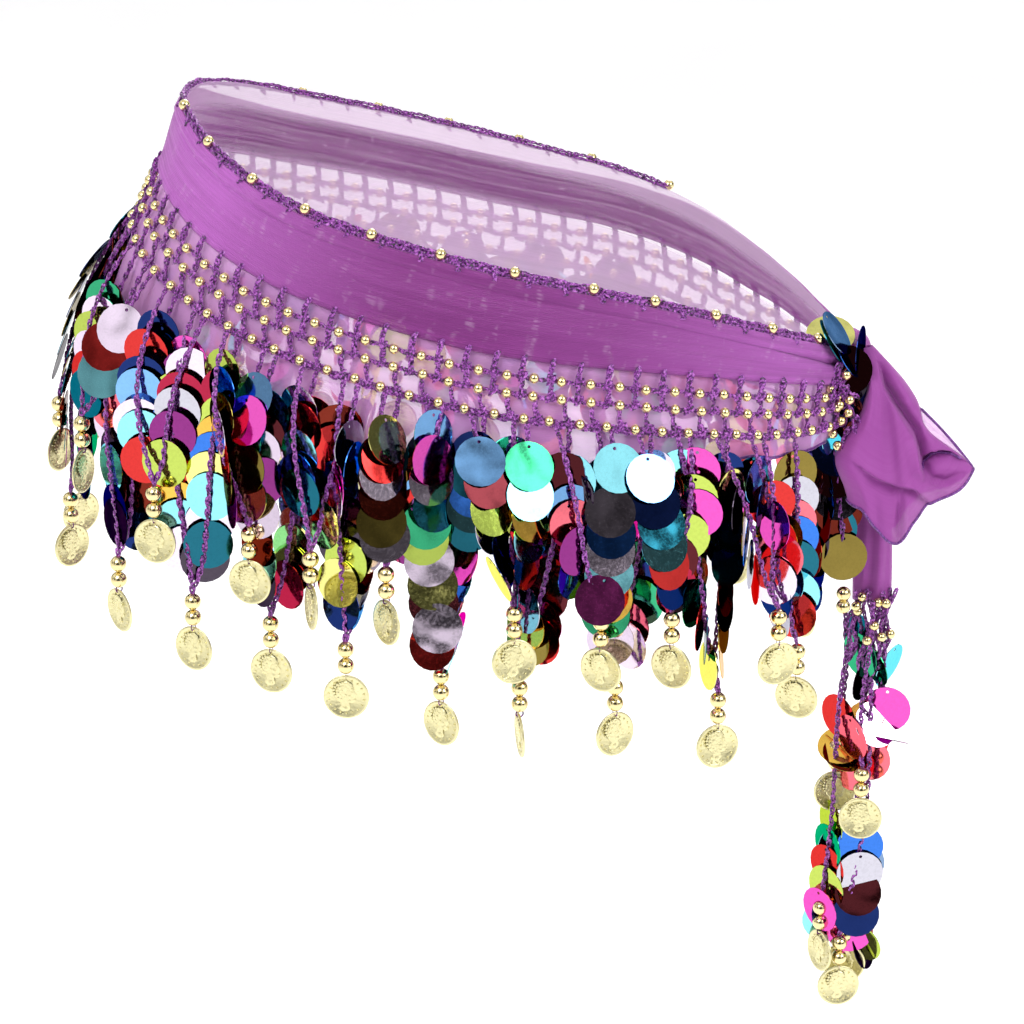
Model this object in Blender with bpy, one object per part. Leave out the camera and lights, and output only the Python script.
"""Belly dance hip scarf: a chiffon wrap with a crochet net and a fringe of coins.

The scarf hangs on a hip form that widens downwards. A place on it is given by
an angle round the form (0 at +X, where the knot is, 90 at the back, 270 at
the front), by how far it lies below the scarf's top edge, measured square to
that edge, and by how far it stands out from the form. Lengths are millimetres
until a mesh is made.
"""

import math

import bmesh
import bpy
import numpy as np
from mathutils import Vector

MM = 0.001
GAP = 0.3

# The hip form: height, half width and half depth of its oval.
HIP_CENTRE_X = -22.0
HIP_ROWS = [
    # height, half_width, half_depth
    (-130.0, 184.0, 122.0),
    (-100.0, 184.0, 121.0),
    (-70.0, 181.0, 119.0),
    (-40.0, 172.0, 114.0),
    (-10.0, 160.0, 109.0),
    (20.0, 145.0, 103.0),
    (50.0, 134.0, 98.0),
    (80.0, 126.0, 94.0),
]

# The scarf's top edge, worn high over one hip and low at the knot.
TOP_EDGE = [
    # angle, height
    (0.0, -60.0),
    (15.0, -54.0),
    (30.0, -36.0),
    (45.0, -15.5),
    (60.0, -1.5),
    (75.0, 8.0),
    (90.0, 18.0),
    (120.0, 37.0),
    (150.0, 54.0),
    (165.0, 58.0),
    (180.0, 58.0),
    (195.0, 55.0),
    (210.0, 46.0),
    (240.0, 23.5),
    (270.0, 4.0),
    (300.0, -17.0),
    (330.0, -43.5),
    (345.0, -55.0),
]

# The wrap starts on the front side of the knot and ends behind it.
KNOT_ANGLE = -8.0
WRAP_START = 345.5
WRAP_END = -1.5

# How far below the top edge each piece starts and ends.
WIDTH_ROWS = [
    # angle, band_top, band_bottom, net_height, hem
    (-1.5, 3.0, 17.0, 19.0, 46.0),
    (15.0, 6.0, 22.0, 23.0, 62.0),
    (40.0, 11.0, 30.0, 27.0, 88.0),
    (90.0, 12.0, 36.0, 27.0, 98.0),
    (140.0, 10.0, 36.0, 27.0, 98.0),
    (175.0, 2.3, 34.0, 27.0, 96.0),
    (220.0, 2.3, 35.0, 27.0, 97.0),
    (270.0, 2.3, 37.0, 27.0, 98.0),
    (300.0, 2.3, 31.0, 27.0, 86.0),
    (320.0, 2.3, 24.0, 26.0, 64.0),
    (335.0, 2.3, 20.0, 23.0, 54.0),
    (345.5, 2.3, 17.0, 19.0, 46.0),
]
BAND_TOP, BAND_BOTTOM, NET_HEIGHT, HEM = 1, 2, 3, 4

CLOTH_TOP = 2.3
CLOTH_THICKNESS = 1.2
BAND_THICKNESS = 2.0
EDGING_WIDTH = 4.0
EDGING_END = 52.0

# Shallow troughs that the sheer cloth's lower edge falls into.
HEM_WAVES = 17
HEM_WAVE_DEPTH = 4.0

# The crochet net.
CELLS = 69
POST_WIDTH = 3.7
NET_THICKNESS = 2.0
NET_ROWS = [
    # share of the net's height where a cord starts, and where it ends
    (0.0, 0.07),
    (0.30, 0.36),
    (0.61, 0.67),
    (0.93, 1.0),
]
FRONT_CELLS = 34

# The fringe: loops with two arms, a run of sequins on each, coins below.
LOOP_CELLS = 3
ARM_CELLS = 2
LOOPS = 21
FRONT_LOOPS = 11
FIRST_LONG_CELL = 3.0
FIRST_SHORT_CELL = 4.5
STRIP_DROP = 0.8
STRIP_HEIGHT = 2.2
STRIP_THICKNESS = 2.2
LONG_STRIP_OUT = 2.3
SHORT_STRIP_OUT = 5.5
ROOT_WIDTH = 4.0
RUN_WIDTH = 19.0
RUN_THICKNESS = 2.4
RUN_START = 22.0
BEAD_WIDTH = 8.0
BEAD_THICKNESS = 5.0
BEADS_HEIGHT = 14.0
COIN_WIDTH = 21.0
COIN_THICKNESS = 2.0
TAPER = 10.0
FOOT_SHARE = 0.4
DROP_ROWS = [
    # angle, long drop and short drop, from the net to the coin's middle
    (0.0, 132.0, 100.0),
    (60.0, 140.0, 104.0),
    (120.0, 146.0, 108.0),
    (180.0, 149.0, 110.0),
    (225.0, 149.0, 110.0),
    (270.0, 143.0, 107.0),
    (310.0, 139.0, 105.0),
    (345.0, 132.0, 100.0),
]
LONG_DROP, SHORT_DROP = 1, 2
LONG_DEPTHS = (6.0, 10.0)
SHORT_DEPTHS = (14.0, 18.0)

# The knot and the two ends of the wrap.
KNOT_HEIGHT = -69.0
KNOT_OUT = 5.0
KNOT_RADII = (13.6, 10.0, 21.0)
TIE_TOP = (170.0, -26.6, -58.0)
TIE_ROWS = [
    # across from the left outline, direction below level, length
    (-1.0, 109.0, 56.0),
    (-0.75, 100.0, 74.0),
    (-0.4, 91.0, 92.0),
    (0.0, 84.0, 97.0),
    (0.35, 77.0, 86.0),
    (0.65, 70.0, 70.0),
    (0.85, 60.0, 71.0),
    (1.0, 48.0, 67.0),
]
TIE_RINGS = [
    # share of the length, half depth, forward shift
    (0.0, 2.5, 2.0),
    (0.14, 5.0, 8.0),
    (0.32, 9.0, 13.0),
    (0.55, 13.0, 17.0),
    (0.78, 15.0, 19.0),
    (1.0, 13.0, 20.0),
]
TIE_SIDES = 22
TIE_WALL = 1.6
TIE_FOLDS = 5
TIE_FOLD_DEPTH = 0.16
TAIL_ROWS = [
    # height, x, y, half_width, half_depth
    (-88.9, 166.0, -18.5, 5.0, 5.0),
    (-110.0, 167.0, -19.0, 7.0, 5.5),
    (-135.0, 170.0, -20.0, 8.5, 6.0),
    (-160.0, 171.0, -21.0, 9.0, 6.0),
    (-180.0, 171.0, -22.0, 9.0, 5.5),
]
TAIL_SIDES = 14
TAIL_WALL = 1.5
TAIL_STRIP = (161.0, 181.0, -180.3, -183.5)
TAIL_STRANDS = [
    # root_x, y, foot_x, foot_height, has_coin
    (164.0, -31.6, 160.5, -288.0, True),
    (170.0, -27.2, 152.5, -371.0, True),
    (164.0, -22.8, 142.5, -353.0, True),
    (176.0, -18.4, 171.0, -266.0, False),
    (170.0, -14.0, 157.0, -325.0, False),
]
TAIL_RUN_START = 30.0

CHIFFON = ((0.45, 0.11, 0.48), 0.6, 0.0)
SHEER = ((0.62, 0.38, 0.66), 0.55, 0.0)
YARN = ((0.16, 0.03, 0.25), 0.5, 0.0)
SEQUINS = ((0.20, 0.35, 0.75), 0.15, 1.0)


def smooth(rows, column, at, period=0.0):
    """One column of a table, read on a smooth curve at a value of its first."""
    keys = [row[0] for row in rows]
    values = [row[column] for row in rows]
    if period:
        at = at % period
        keys = [keys[-2] - period, keys[-1] - period, *keys, keys[0] + period, keys[1] + period]
        values = [values[-2], values[-1], *values, values[0], values[1]]
    steps = np.diff(values) / np.diff(keys)
    slopes = np.gradient(values, keys)
    for i in range(1, len(keys) - 1):
        level = steps[i - 1] * steps[i] <= 0.0
        limit = 0.0 if level else 3.0 * min(abs(steps[i - 1]), abs(steps[i]))
        slopes[i] = min(max(slopes[i], -limit), limit)
    place = int(np.clip(np.searchsorted(keys, at) - 1, 0, len(keys) - 2))
    span = keys[place + 1] - keys[place]
    t = min(max((at - keys[place]) / span, 0.0), 1.0)
    rise = values[place + 1] - values[place]
    bend = slopes[place] * span * (t - 2 * t * t + t ** 3)
    bend += slopes[place + 1] * span * (t ** 3 - t * t)
    return values[place] + rise * t * t * (3 - 2 * t) + bend


def hip_point(angle, height, out=0.0):
    """A point on the hip form, moved out along its normal."""
    turn = math.radians(angle)
    half_width = smooth(HIP_ROWS, 1, height)
    half_depth = smooth(HIP_ROWS, 2, height)
    across = Vector((-half_width * math.sin(turn), half_depth * math.cos(turn), 0.0))
    up = Vector((
        (smooth(HIP_ROWS, 1, height + 1) - smooth(HIP_ROWS, 1, height - 1)) * math.cos(turn),
        (smooth(HIP_ROWS, 2, height + 1) - smooth(HIP_ROWS, 2, height - 1)) * math.sin(turn),
        2.0))
    point = Vector((
        HIP_CENTRE_X + half_width * math.cos(turn), half_depth * math.sin(turn), height))
    return point + across.cross(up).normalized() * out


def edge_point(angle):
    """A point of the top edge."""
    return hip_point(angle, smooth(TOP_EDGE, 1, angle, 360.0))


def below_edge(angle, down):
    """Angle and height of the place that lies down below the edge, square to it."""
    start = edge_point(angle)
    along = (edge_point(angle + 5.0) - edge_point(angle - 5.0)).normalized()
    normal = (hip_point(angle, start.z, 10.0) - start).normalized()
    point = start + normal.cross(along) * -down
    half_width = smooth(HIP_ROWS, 1, point.z)
    half_depth = smooth(HIP_ROWS, 2, point.z)
    turn = math.atan2(point.y / half_depth, (point.x - HIP_CENTRE_X) / half_width)
    return math.degrees(turn), point.z


def scarf_point(angle, down, out):
    """A point of the worn scarf."""
    around, height = below_edge(angle, down)
    return hip_point(around, height, out)


def width(column, angle):
    """Where a piece starts or ends below the edge, at an angle."""
    return smooth(WIDTH_ROWS, column, angle)


def between(upper, lower, share):
    """A point on the straight line between two others."""
    return upper + (lower - upper) * share


def net_bottom(angle):
    """How far below the edge the net ends."""
    return width(BAND_BOTTOM, angle) + GAP + width(NET_HEIGHT, angle)


def measure_wrap():
    """Angles along the wrap and the length from its start, along the net."""
    angles = np.linspace(WRAP_START, WRAP_END, 348)
    points = [scarf_point(a, 0.5 * (width(BAND_BOTTOM, a) + net_bottom(a)), 0.0) for a in angles]
    steps = [(b - a).length for a, b in zip(points, points[1:])]
    return angles, np.concatenate(([0.0], np.cumsum(steps)))


WRAP_ANGLES, WRAP_LENGTHS = measure_wrap()
WRAP_LENGTH = float(WRAP_LENGTHS[-1])
CELL = (WRAP_LENGTH - POST_WIDTH) / CELLS


def angle_at(length):
    """The angle at a length along the wrap."""
    return float(np.interp(length, WRAP_LENGTHS, WRAP_ANGLES))


# The cloth's sections: one at the middle of each post of the net.
SECTIONS = [WRAP_START]
SECTIONS += [angle_at(POST_WIDTH / 2 + cell * CELL) for cell in range(1, CELLS)]
SECTIONS += [WRAP_END]


def make_material(name, finish):
    """A plain Principled material from a colour, a roughness and a metallic value."""
    colour, roughness, metallic = finish
    material = bpy.data.materials.new(name)
    material.use_nodes = True
    shader = material.node_tree.nodes["Principled BSDF"]
    shader.inputs["Base Color"].default_value = (*colour, 1.0)
    shader.inputs["Roughness"].default_value = roughness
    shader.inputs["Metallic"].default_value = metallic
    return material


def add_piece(name, bm, finish):
    """Turn a bmesh in millimetres into a named object in metres."""
    bm.normal_update()
    bmesh.ops.recalc_face_normals(bm, faces=bm.faces)
    bmesh.ops.scale(bm, vec=(MM, MM, MM), verts=bm.verts)
    mesh = bpy.data.meshes.new(name)
    bm.to_mesh(mesh)
    bm.free()
    mesh.shade_smooth()
    mesh.set_sharp_from_angle(angle=math.radians(40.0))
    mesh.materials.append(make_material(name, finish))
    piece = bpy.data.objects.new(name, mesh)
    bpy.context.scene.collection.objects.link(piece)
    return piece


def wall_faces(bm, inner, outer, solid=lambda i, j: True, open_rims=(), open_faces=()):
    """Close a wall between two grids of vertices, where solid says it has cloth.

    The columns in open_rims keep their last row's rim open, and the cells in
    open_faces their outer face, each for a strand.
    """
    columns, rows = len(inner) - 1, len(inner[0]) - 1
    for i in range(columns):
        for j in range(rows):
            if not solid(i, j):
                continue
            if (i, j) not in open_faces:
                bm.faces.new((
                    outer[i][j], outer[i][j + 1], outer[i + 1][j + 1], outer[i + 1][j]))
            bm.faces.new((inner[i][j], inner[i + 1][j], inner[i + 1][j + 1], inner[i][j + 1]))
            edges = (
                ((i - 1, j), (i, j), (i, j + 1)),
                ((i + 1, j), (i + 1, j), (i + 1, j + 1)),
                ((i, j - 1), (i, j), (i + 1, j)),
                ((i, j + 1), (i, j + 1), (i + 1, j + 1)),
            )
            for beyond, a, b in edges:
                inside = 0 <= beyond[0] < columns and 0 <= beyond[1] < rows
                if inside and solid(*beyond):
                    continue
                if beyond[1] == rows and i in open_rims:
                    continue
                bm.faces.new((
                    inner[a[0]][a[1]], inner[b[0]][b[1]], outer[b[0]][b[1]], outer[a[0]][a[1]]))


def grid(bm, points):
    """Vertices for a grid of points."""
    return [[bm.verts.new(point) for point in column] for column in points]


def scarf_wall(name, angles, column, finish):
    """A wall along the wrap; column gives its inner and outer points at an angle."""
    columns = [column(angle) for angle in angles]
    bm = bmesh.new()
    inner = grid(bm, [points[0] for points in columns])
    outer = grid(bm, [points[1] for points in columns])
    wall_faces(bm, inner, outer)
    add_piece(name, bm, finish)


def hem_trough(angle):
    """How far the sheer cloth's hem falls inwards."""
    turn = math.radians(angle)
    wave = 0.5 - 0.35 * math.cos(HEM_WAVES * turn) - 0.15 * math.cos(HEM_WAVES * 0.63 * turn + 1.0)
    return HEM_WAVE_DEPTH * wave


def make_sheer_cloth():
    """The wrap of thin chiffon with its rolled hem."""

    def column(angle):
        hem = width(HEM, angle)
        rows = [CLOTH_TOP, width(BAND_BOTTOM, angle), net_bottom(angle), hem]
        rows.insert(3, between(rows[2], hem, 0.5))
        falls = [0.0, 0.0, 0.0, 0.25 * hem_trough(angle), hem_trough(angle)]
        return [
            [scarf_point(angle, down, out - fall) for down, fall in zip(rows, falls)]
            for out in (0.0, CLOTH_THICKNESS)]

    scarf_wall("sheer_cloth", SECTIONS, column, SHEER)


def make_waistband():
    """The opaque band, outside the wrap."""

    def column(angle):
        top, bottom = width(BAND_TOP, angle), width(BAND_BOTTOM, angle)
        share = (top - CLOTH_TOP) / (bottom - CLOTH_TOP)
        walls = []
        for out in (CLOTH_THICKNESS + GAP, CLOTH_THICKNESS + GAP + BAND_THICKNESS):
            lower = scarf_point(angle, bottom, out)
            walls.append([between(scarf_point(angle, CLOTH_TOP, out), lower, share), lower])
        return walls

    scarf_wall("waistband", SECTIONS, column, CHIFFON)


def make_top_edging():
    """The crochet cord along the top edge, as far as the fold behind the knot."""
    half = EDGING_WIDTH / 2

    def column(angle):
        return [
            [scarf_point(angle, down, out) for down in (-half, half)]
            for out in (CLOTH_THICKNESS - half, CLOTH_THICKNESS + half)]

    angles = [angle for angle in SECTIONS if angle > EDGING_END]
    scarf_wall("top_edging", angles, column, YARN)


def make_net(name, first, last):
    """A stretch of the net, from one post to another, with its cells cut through."""
    half = POST_WIDTH / 2
    angles = []
    for cell in range(first, last + 1):
        middle = half + cell * CELL
        angles += [angle_at(middle - half), angle_at(middle + half)]
    shares = [share for row in NET_ROWS for share in row]
    inner_out = CLOTH_THICKNESS + GAP

    def column(angle, out):
        upper = scarf_point(angle, width(BAND_BOTTOM, angle) + GAP, out)
        lower = scarf_point(angle, net_bottom(angle), out)
        return [between(upper, lower, share) for share in shares]

    bm = bmesh.new()
    inner = grid(bm, [column(angle, inner_out) for angle in angles])
    outer = grid(bm, [column(angle, inner_out + NET_THICKNESS) for angle in angles])
    wall_faces(bm, inner, outer, lambda i, j: i % 2 == 0 or j % 2 == 0)
    add_piece(name, bm, YARN)


def strand_sections(drop, run_start, has_coin):
    """Drop, width and thickness of an arm's sections, down to its foot."""
    beads_end = drop - COIN_WIDTH / 2 - COIN_THICKNESS
    beads_start = beads_end - BEADS_HEIGHT
    sections = [
        (run_start, RUN_WIDTH, RUN_THICKNESS),
        (beads_start - TAPER, RUN_WIDTH, RUN_THICKNESS),
    ]
    if has_coin:
        sections += [
            (beads_start, BEAD_WIDTH, BEAD_THICKNESS),
            (beads_end, BEAD_WIDTH, BEAD_THICKNESS),
            (drop, COIN_WIDTH, COIN_THICKNESS),
            (drop + COIN_WIDTH / 2, COIN_WIDTH * FOOT_SHARE, COIN_THICKNESS),
        ]
    else:
        sections.append((beads_start - RUN_THICKNESS, RUN_WIDTH * FOOT_SHARE, RUN_THICKNESS))
    return sections


def flat_ring(middle, along, out, wide, thick):
    """Four points round the middle of a flat strand."""
    side, face = along * wide / 2, out * thick / 2
    return [
        middle - side - face, middle + side - face, middle + side + face, middle - side + face]


def strand_rings(angle_top, height_top, drop, shift, depth, has_coin):
    """Rings of four points down one arm of a loop on the hip form."""
    rings = []
    for fall, wide, thick in strand_sections(drop, RUN_START, has_coin):
        height = height_top - fall
        degree = (hip_point(angle_top - 1.0, height) - hip_point(angle_top, height)).length
        angle = angle_top - shift * min(fall / drop, 1.0) / degree
        middle = hip_point(angle, height, depth)
        out = (hip_point(angle, height, depth + 10.0) - middle).normalized()
        along = (hip_point(angle - 2.0, height) - hip_point(angle + 2.0, height)).normalized()
        rings.append(flat_ring(middle, along, out, wide, thick))
    return rings


def add_strand(bm, root, rings):
    """Join rings of four points below the four vertices of a root."""
    last = root
    for ring in rings:
        verts = [bm.verts.new(point) for point in ring]
        for k in range(4):
            bm.faces.new((last[k], last[(k + 1) % 4], verts[(k + 1) % 4], verts[k]))
        last = verts
    bm.faces.new(last)


def make_fringe(name, loops, first_cell, drop_column, depths, strip_out):
    """Loops on a narrow strip under the net; each has two arms and one coin."""
    arms = []
    for loop in loops:
        start = first_cell + loop * LOOP_CELLS
        arms.append((start * CELL, CELL, depths[0], True))
        arms.append(((start + ARM_CELLS) * CELL, -CELL, depths[1], False))
    arms.sort()
    angles = []
    for length, _, _, _ in arms:
        angles += [angle_at(length - ROOT_WIDTH / 2), angle_at(length + ROOT_WIDTH / 2)]

    def column(angle, out):
        top = net_bottom(angle) + STRIP_DROP
        return [scarf_point(angle, top, out), scarf_point(angle, top + STRIP_HEIGHT, out)]

    bm = bmesh.new()
    inner = grid(bm, [column(angle, strip_out) for angle in angles])
    outer = grid(bm, [column(angle, strip_out + STRIP_THICKNESS) for angle in angles])
    roots = range(0, len(angles), 2)
    wall_faces(bm, inner, outer, open_rims=roots)
    for i, (length, shift, depth, has_coin) in zip(roots, arms):
        angle = angle_at(length)
        around, height = below_edge(angle, net_bottom(angle) + STRIP_DROP + STRIP_HEIGHT)
        drop = smooth(DROP_ROWS, drop_column, angle)
        root = (inner[i][1], inner[i + 1][1], outer[i + 1][1], outer[i][1])
        add_strand(bm, root, strand_rings(around, height, drop, shift, depth, has_coin))
    add_piece(name, bm, SEQUINS)


def make_tail_fringe():
    """The tail's strip and its strands, which lie one behind the other."""
    left, right, top, bottom = TAIL_STRIP
    half_root, half_run = ROOT_WIDTH / 2, RUN_THICKNESS / 2
    xs = sorted({x + side for x, *_ in TAIL_STRANDS for side in (-half_root, half_root)})
    xs = [left, *xs, right]
    ys = sorted(y + side for _, y, *_ in TAIL_STRANDS for side in (-half_run, half_run))
    bm = bmesh.new()
    upper = grid(bm, [[Vector((x, y, top)) for y in ys] for x in xs])
    lower = grid(bm, [[Vector((x, y, bottom)) for y in ys] for x in xs])
    roots = [(xs.index(x - half_root), ys.index(y - half_run)) for x, y, *_ in TAIL_STRANDS]
    wall_faces(bm, upper, lower, open_faces=roots)
    along, out = Vector((1.0, 0.0, 0.0)), Vector((0.0, -1.0, 0.0))
    for (i, j), (x, y, foot_x, foot, has_coin) in zip(roots, TAIL_STRANDS):
        drop = bottom - foot
        rings = []
        for fall, wide, thick in strand_sections(drop, TAIL_RUN_START, has_coin):
            middle = Vector((between(x, foot_x, min(fall / drop, 1.0)), y, bottom - fall))
            rings.append(flat_ring(middle, along, out, wide, thick))
        root = (lower[i][j + 1], lower[i + 1][j + 1], lower[i + 1][j], lower[i][j])
        add_strand(bm, root, rings)
    add_piece("tail_fringe", bm, SEQUINS)


def make_knot():
    """The tied lump, ribbed where the cloth winds round it."""
    bm = bmesh.new()
    bmesh.ops.create_uvsphere(bm, u_segments=14, v_segments=10, radius=1.0)
    centre = hip_point(KNOT_ANGLE, KNOT_HEIGHT, KNOT_OUT)
    out = (hip_point(KNOT_ANGLE, KNOT_HEIGHT, 10.0) - hip_point(KNOT_ANGLE, KNOT_HEIGHT)).normalized()
    along = Vector((-out.y, out.x, 0.0)).normalized()
    up = out.cross(along)
    for vert in bm.verts:
        rib = 1.0 + 0.07 * math.cos(vert.co.z * 9.0 + vert.co.x * 2.0)
        vert.co = (
            centre + along * vert.co.x * KNOT_RADII[0] + out * vert.co.y * KNOT_RADII[1] * rib
            + up * vert.co.z * KNOT_RADII[2])
    add_piece("knot", bm, CHIFFON)


def tie_point(ring, turn, inset):
    """A point of the bunched end; inset moves it in from the outer face."""
    share, half_depth, forward = ring
    across = math.cos(turn)
    direction = math.radians(smooth(TIE_ROWS, 1, across))
    length = smooth(TIE_ROWS, 2, across) - inset
    fold = 1.0 + TIE_FOLD_DEPTH * share * math.cos(TIE_FOLDS * turn + 0.6)
    reach = share * length + 3.0 * (1.0 - share)
    side = reach * math.cos(direction) + (1.0 - share) * 3.0 * across
    middle = Vector((side, -forward, -reach * math.sin(direction)))
    deep = -(half_depth * fold - inset) * math.sin(turn)
    return Vector(TIE_TOP) + middle + Vector((-inset * across, deep, 0.0))


def make_tie_end():
    """The bunched upper end: an open bell of cloth that fans out below the knot."""
    bm = bmesh.new()
    turns = [2 * math.pi * k / TIE_SIDES for k in range(TIE_SIDES)]
    outer = grid(bm, [[tie_point(ring, turn, 0.0) for turn in turns] for ring in TIE_RINGS])
    inner = grid(bm, [[tie_point(ring, turn, TIE_WALL) for turn in turns] for ring in TIE_RINGS[2:]])
    for rings in (outer, inner):
        for upper, lower in zip(rings, rings[1:]):
            for k in range(TIE_SIDES):
                n = (k + 1) % TIE_SIDES
                bm.faces.new((upper[k], upper[n], lower[n], lower[k]))
    for k in range(TIE_SIDES):
        n = (k + 1) % TIE_SIDES
        bm.faces.new((outer[-1][k], outer[-1][n], inner[-1][n], inner[-1][k]))
    bm.faces.new(outer[0])
    bm.faces.new(inner[0])
    add_piece("tie_end", bm, CHIFFON)


def make_tail_cloth():
    """The hanging end: a folded strip, open below."""
    bm = bmesh.new()
    turns = [2 * math.pi * k / TAIL_SIDES for k in range(TAIL_SIDES)]

    def ring(row, inset):
        height, x, y, half_width, half_depth = row
        points = []
        for turn in turns:
            crease = 1.0 - 0.18 * math.cos(3 * turn)
            points.append((
                x + (half_width - inset) * math.cos(turn),
                y + (half_depth * crease - inset) * math.sin(turn), height))
        return points

    outer = grid(bm, [ring(row, 0.0) for row in TAIL_ROWS])
    inner = grid(bm, [ring(row, TAIL_WALL) for row in TAIL_ROWS[1:]])
    for rings in (outer, inner):
        for upper, lower in zip(rings, rings[1:]):
            for k in range(TAIL_SIDES):
                n = (k + 1) % TAIL_SIDES
                bm.faces.new((upper[k], upper[n], lower[n], lower[k]))
    for k in range(TAIL_SIDES):
        n = (k + 1) % TAIL_SIDES
        bm.faces.new((outer[-1][k], outer[-1][n], inner[-1][n], inner[-1][k]))
    bm.faces.new(outer[0])
    bm.faces.new(inner[0])
    add_piece("tail_cloth", bm, CHIFFON)


def main():
    """Build every piece of the scarf."""
    for old in list(bpy.data.objects):
        bpy.data.objects.remove(old, do_unlink=True)
    make_sheer_cloth()
    make_waistband()
    make_top_edging()
    make_net("net_front", 0, FRONT_CELLS)
    make_net("net_back", FRONT_CELLS + 1, CELLS)
    parts = {"front": range(FRONT_LOOPS), "back": range(FRONT_LOOPS, LOOPS)}
    for part, loops in parts.items():
        make_fringe(
            f"fringe_long_{part}", loops, FIRST_LONG_CELL, LONG_DROP, LONG_DEPTHS, LONG_STRIP_OUT)
        make_fringe(
            f"fringe_short_{part}", loops, FIRST_SHORT_CELL, SHORT_DROP, SHORT_DEPTHS,
            SHORT_STRIP_OUT)
    make_knot()
    make_tie_end()
    make_tail_cloth()
    make_tail_fringe()


main()
